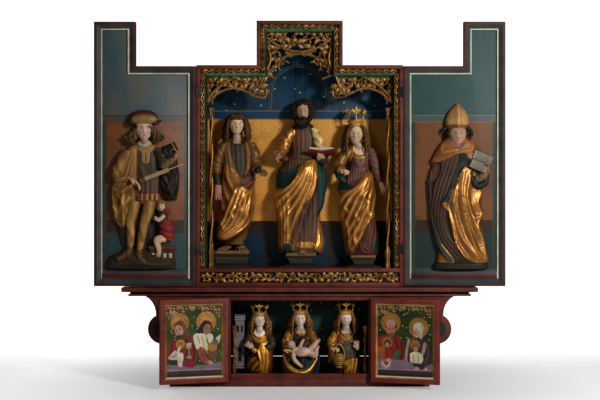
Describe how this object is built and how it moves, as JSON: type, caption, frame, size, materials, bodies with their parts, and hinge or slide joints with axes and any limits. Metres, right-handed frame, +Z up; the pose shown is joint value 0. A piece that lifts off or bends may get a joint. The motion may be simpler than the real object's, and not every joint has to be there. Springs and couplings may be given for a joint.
{
  "type": "winged altarpiece",
  "caption": "Carved and painted wooden altarpiece: stepped shrine with saints under gilded tracery, hinged stepped wings with reliefs, predella with busts behind hinged painted doors.",
  "frame": {"origin": "centre of the base board's underside, on the floor", "axes": "+X to the viewer's right along the front, +Y to the back, +Z up; the open front looks towards -Y"},
  "size_m": [2.388, 0.4556, 2.12],
  "materials": {
    "red_painted_wood": "worn matt red-brown paint",
    "dark_red_painted_wood": "worn matt dark red paint with a teal bevel",
    "night_green_wood": "dark green paint",
    "gilded_wood": "worn gilding on carved wood",
    "painted_shrine_back": "blue starred sky above a gold brocade",
    "green_painted_wood": "green paint with red and gold edges",
    "pedestal_wood": "grey-green paint",
    "polychromed_limewood": "painted and gilded carving",
    "painted_wing_panel": "teal paint above a brown brocade",
    "teal_painted_wood": "dull teal paint with a red strip",
    "painted_door_panel": "painted half figures with gilded haloes",
    "wrought_iron": "dark iron"
  },
  "bodies": {
    "case": {"base_board": "red_painted_wood", "predella_front": "red_painted_wood", "predella_left_side": "red_painted_wood", "predella_right_side": "red_painted_wood", "predella_back_upper": "night_green_wood", "predella_back_lower": "night_green_wood", "predella_left_colonnette": "gilded_wood", "predella_right_colonnette": "gilded_wood", "cornice": "red_painted_wood", "shrine_bottom_board": "red_painted_wood", "shrine_sill_board": "red_painted_wood", "shrine_strip_backing": "night_green_wood", "shrine_foliage_strip": "gilded_wood", "shrine_left_side": "red_painted_wood", "shrine_right_side": "red_painted_wood", "shrine_left_shoulder": "red_painted_wood", "shrine_right_shoulder": "red_painted_wood", "shrine_crown_left": "red_painted_wood", "shrine_crown_right": "red_painted_wood", "shrine_crown_top": "red_painted_wood", "shrine_back": "painted_shrine_back", "shrine_cove_frame": "green_painted_wood", "shrine_left_colonnette": "gilded_wood", "shrine_right_colonnette": "gilded_wood", "gilt_strip_left": "gilded_wood", "gilt_strip_right": "gilded_wood", "gilt_strip_left_shoulder": "gilded_wood", "gilt_strip_right_shoulder": "gilded_wood", "gilt_strip_crown": "gilded_wood", "shrine_left_tracery": "gilded_wood", "shrine_right_tracery": "gilded_wood", "shrine_crown_tracery": "gilded_wood", "pedestal_left": "pedestal_wood", "pedestal_centre": "pedestal_wood", "pedestal_right": "pedestal_wood", "statue_left": "polychromed_limewood", "statue_centre": "polychromed_limewood", "statue_right": "polychromed_limewood", "bust_left": "polychromed_limewood", "bust_centre": "polychromed_limewood", "bust_right": "polychromed_limewood", "left_wing_lower_hinge": "wrought_iron", "left_wing_upper_hinge": "wrought_iron", "right_wing_lower_hinge": "wrought_iron", "right_wing_upper_hinge": "wrought_iron", "left_door_hinge": "wrought_iron", "right_door_hinge": "wrought_iron"},
    "left_wing": {"left_wing_frame": "dark_red_painted_wood", "left_wing_panel": "painted_wing_panel", "left_wing_ledge": "teal_painted_wood", "left_wing_relief": "polychromed_limewood"},
    "right_wing": {"right_wing_frame": "dark_red_painted_wood", "right_wing_panel": "painted_wing_panel", "right_wing_ledge": "teal_painted_wood", "right_wing_relief": "polychromed_limewood"},
    "left_door": {"left_door_frame": "red_painted_wood", "left_door_panel": "painted_door_panel"},
    "right_door": {"right_door_frame": "red_painted_wood", "right_door_panel": "painted_door_panel"}
  },
  "joints": [
    {"name": "left_wing_swing", "type": "hinge", "parent": "case", "child": "left_wing", "pos_m": [-0.601, -0.1235, 1.2], "axis": [0, 0, 1], "range_deg": [0, 180]},
    {"name": "right_wing_swing", "type": "hinge", "parent": "case", "child": "right_wing", "pos_m": [0.601, -0.1235, 1.2], "axis": [0, 0, -1], "range_deg": [0, 180]},
    {"name": "left_door_swing", "type": "hinge", "parent": "case", "child": "left_door", "pos_m": [-0.406, -0.176, 0.27], "axis": [0, 0, 1], "range_deg": [-17, 163]},
    {"name": "right_door_swing", "type": "hinge", "parent": "case", "child": "right_door", "pos_m": [0.406, -0.176, 0.27], "axis": [0, 0, -1], "range_deg": [-17, 163]}
  ]
}
